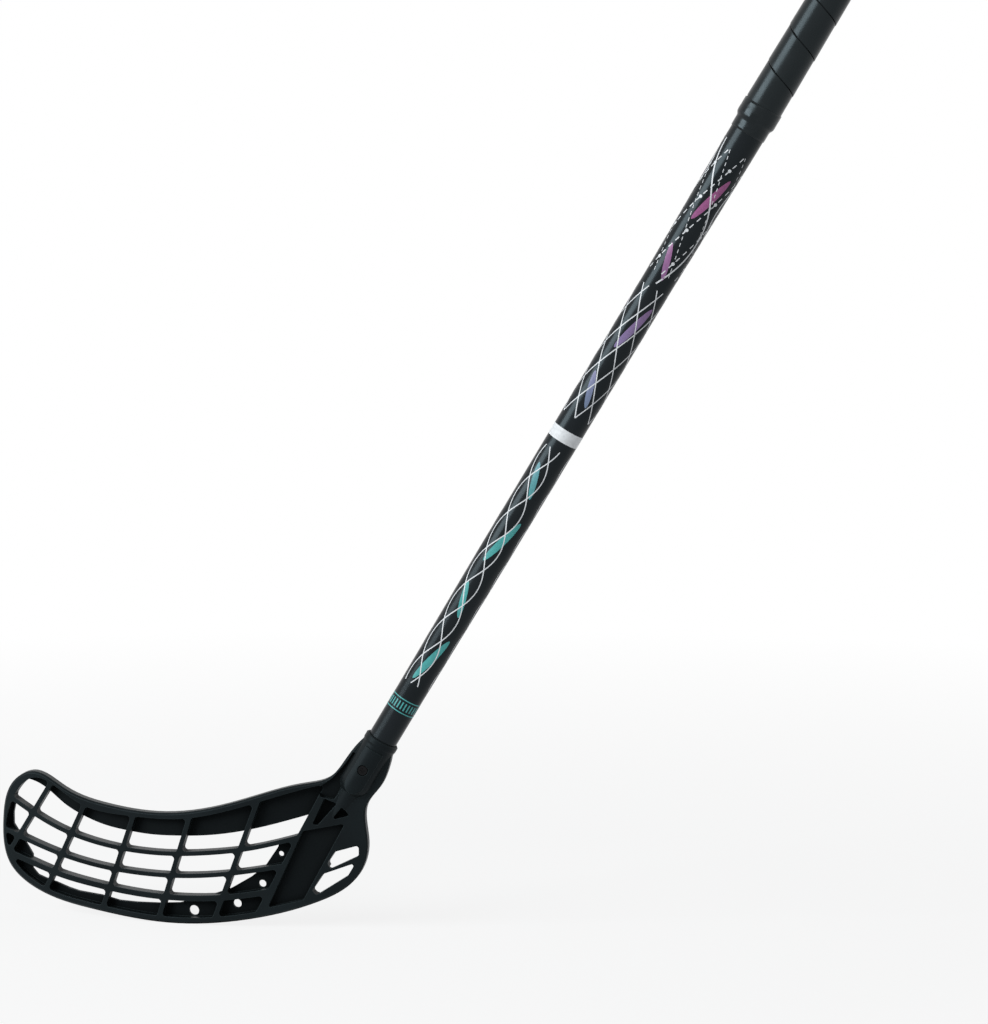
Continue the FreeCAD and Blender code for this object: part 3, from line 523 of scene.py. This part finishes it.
# Finishing band: glossy film tape stretched round the lower end of the grip.
# It clings over the edge of the tape in small creases and ends in a ring on the shaft.
# Distance from the tip and the film's radius there, up its outside and back down its inside.
BAND_STATIONS = [
    (0.566, 0.01325), (0.5661, 0.0137), (0.568, 0.01372), (0.571, 0.0137), (0.5735, 0.01375),
    (0.5748, 0.0140), (0.5762, 0.0148), (0.5772, 0.0152), (0.579, 0.01526), (0.583, 0.01522),
    (0.587, 0.01526), (0.5889, 0.01522), (0.589, 0.0148), (0.5779, 0.0148), (0.5779, 0.01325),
]
BAND_STEPS = 128
CREASE = 0.00010
# Creases in one turn and their slant up the film, for the two runs that cross.
STEEP_CREASE = (5, 900)
FLAT_CREASE = (3, -1700)
BAND_BLACK = (0.0040, 0.0042, 0.0045, 1.0)
BAND_GREY = (0.0080, 0.0084, 0.0090, 1.0)
BAND_ROUGH = (0.12, 0.36)
FILM_STRETCH = (1.0, 0.5, 1.6)


def band_finish():
    material, tree, shader, place = finish_of("band_film_gloss")
    creases = noise_of(tree, stretched(tree, place, FILM_STRETCH), scale=170.0)
    relief = bump_of(tree, creases, strength=0.30, distance=0.0004)
    skin(tree, shader, creases, (BAND_BLACK, BAND_GREY), BAND_ROUGH, relief)
    shader.inputs["Specular IOR Level"].default_value = 0.24
    shader.inputs["Specular Tint"].default_value = COOL_SHEEN
    return material


def stretched_band():
    points = []
    faces = []
    for reach, radius in BAND_STATIONS:
        for turn in span(0.0, FULL_TURN, BAND_STEPS)[:-1]:
            steep = math.sin(STEEP_CREASE[0] * turn + STEEP_CREASE[1] * reach)
            flat = math.sin(FLAT_CREASE[0] * turn + FLAT_CREASE[1] * reach)
            lift = CREASE * max(steep * flat, 0.0) if radius > TAPE_BORE + CREASE else 0.0
            points.append(on_shaft(reach, turn, radius + lift))
    for row in range(len(BAND_STATIONS)):
        here = row * BAND_STEPS
        above = (row + 1) % len(BAND_STATIONS) * BAND_STEPS
        for step in range(BAND_STEPS):
            nxt = (step + 1) % BAND_STEPS
            faces.append((here + nxt, above + nxt, above + step, here + step))
    return points, faces


band = piece_of("grip_finishing_band_film", *stretched_band(), band_finish(), "band_film")
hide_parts("grip_finishing_band")

# End knob: a moulded rubber plug with a wide rounded flange that closes the upper end.
# It is pushed into the tube and stops the hand from slipping off.
RUBBER_BLACK = (0.0060, 0.0060, 0.0062, 1.0)
RUBBER_GREY = (0.0125, 0.0125, 0.0130, 1.0)
RUBBER_ROUGH = (0.55, 0.72)
KNOB_EDGE = 0.0008
KNOB_EDGE_PARTS = 3
SHARP_FROM = math.radians(25)


def knob_finish():
    material, tree, shader, place = finish_of("knob_rubber_moulded")
    dusty = noise_of(tree, place, scale=140.0, detail=5.0)
    grain = noise_of(tree, place, scale=2600.0, detail=2.0)
    relief = bump_of(tree, grain, strength=0.25, distance=0.0001)
    skin(tree, shader, dusty, (RUBBER_BLACK, RUBBER_GREY), RUBBER_ROUGH, relief)
    shader.inputs["Specular IOR Level"].default_value = 0.20
    return material


knob = wear("end_knob", knob_finish())
knob_edges = knob.modifiers.new("eased_edges", "BEVEL")
knob_edges.width = KNOB_EDGE
knob_edges.segments = KNOB_EDGE_PARTS
knob_edges.angle_limit = SHARP_FROM

# Floor and light: a plain pale floor under the sole, in a white room with an even soft light.
# A wide soft light stands on the left, turned to follow the lean of the shaft, and a weak one in front.
FLOOR_DROP = 0.0002
FLOOR_HALF = 12.0
FLOOR_CORNERS = ((-1, -1), (1, -1), (1, 1), (-1, 1))
FLOOR_PALE = (0.86, 0.86, 0.86, 1.0)
FLOOR_SPECK = (0.89, 0.89, 0.89, 1.0)
# Distance from the blade over which the floor passes into the white room, and the room's share there.
FLOOR_FADE = (0.9, 1.9)
FLOOR_WHITE = (0.84, 1.0)
ROOM_GREY = (0.28, 0.285, 0.29, 1.0)
ROOM_WHITE = (1.0, 1.0, 1.0, 1.0)
COLLAR = UP_SHAFT * (COLLAR_AT - HOLD_FROM_TIP)
LIT_MIDDLE = COLLAR + UP_SHAFT * 0.25


def background_rays(tree):
    # 1 for rays that show the background itself, straight on or in gloss and glass.
    path = node_of(tree, "ShaderNodeLightPath").outputs
    shown = math_of(tree, "MAXIMUM", path["Is Camera Ray"], path["Is Glossy Ray"])
    return math_of(tree, "MAXIMUM", shown, path["Is Transmission Ray"])


def floor_finish():
    material, tree, shader, place = finish_of("floor_pale")
    speckle = noise_of(tree, place, scale=300.0)
    tree.links.new(blend_of(tree, speckle, (FLOOR_PALE, FLOOR_SPECK)), shader.inputs["Base Color"])
    shader.inputs["Roughness"].default_value = 0.9
    shader.inputs["Specular IOR Level"].default_value = 0.0
    away = vector_value(tree, "DISTANCE", place, (COLLAR.x, COLLAR.y, 0.0))
    share = math_of(tree, "MULTIPLY", spread(tree, away, FLOOR_WHITE, FLOOR_FADE), background_rays(tree))
    white_glow = node_of(tree, "ShaderNodeEmission", {"Color": ROOM_WHITE}).outputs["Emission"]
    both = node_of(tree, "ShaderNodeMixShader", {0: share, 1: shader.outputs["BSDF"], 2: white_glow})
    tree.links.new(both.outputs["Shader"], tree.nodes["Material Output"].inputs["Surface"])
    return material


floor_level = cad_box[0][2] - FLOOR_DROP
floor_mesh = bpy.data.meshes.new("floor")
floor_mesh.from_pydata([(x * FLOOR_HALF, y * FLOOR_HALF, floor_level) for x, y in FLOOR_CORNERS],
                       [], [(0, 1, 2, 3)])
floor_mesh.materials.append(floor_finish())
floor = bpy.data.objects.new("floor", floor_mesh)
bpy.context.scene.collection.objects.link(floor)

world = bpy.data.worlds.new("studio")
bpy.context.scene.world = world
world.use_nodes = True
room = world.node_tree
room_colour = mixed(room, background_rays(room), ROOM_GREY, ROOM_WHITE)
room.links.new(room_colour, room.nodes["Background"].inputs["Color"])


def soft_light(name, offset, across, along, watts, colour):
    # Flat lamp that faces the middle of the stick, with one side along the lean of the shaft.
    lamp = bpy.data.lights.new(name, "AREA")
    lamp.shape = "RECTANGLE"
    lamp.size = across
    lamp.size_y = along
    lamp.energy = watts
    lamp.color = colour
    light = bpy.data.objects.new(name, lamp)
    back = offset.normalized()
    side = UP_SHAFT.cross(back).normalized()
    light.rotation_euler = Matrix((side, back.cross(side), back)).transposed().to_euler()
    light.location = LIT_MIDDLE + offset
    bpy.context.scene.collection.objects.link(light)


soft_light("wide_soft_left", Vector((-2.95, -2.21, 1.56)), across=2.6, along=1.5, watts=124.0,
           colour=(0.94, 0.98, 1.0))
soft_light("weak_front", Vector((0.5, -2.6, 1.6)), across=1.6, along=1.6, watts=4.0,
           colour=(1.0, 1.0, 1.0))

# Camera: a long lens about three metres in front of the stick and a little above the blade.
# It looks at the blade's convex side, and the upper end of the grip runs out of the picture.
SENSOR_HEIGHT = 36.0
FOCAL_LENGTH = 146.91
STAND_FROM_COLLAR = Vector((0.5215, -3.0615, 0.4941))
AIM_FROM_COLLAR = Vector((0.0688, 0.1085, 0.1611))
lens = bpy.data.cameras.new("view_of_the_blade_side")
lens.sensor_fit = "VERTICAL"
lens.sensor_height = SENSOR_HEIGHT
lens.lens = FOCAL_LENGTH
camera = bpy.data.objects.new("camera", lens)
camera.location = COLLAR + STAND_FROM_COLLAR
look = COLLAR + AIM_FROM_COLLAR - camera.location
camera.rotation_euler = look.to_track_quat("-Z", "Y").to_euler()
bpy.context.scene.collection.objects.link(camera)
bpy.context.scene.camera = camera
bpy.context.scene.view_settings.view_transform = "Standard"
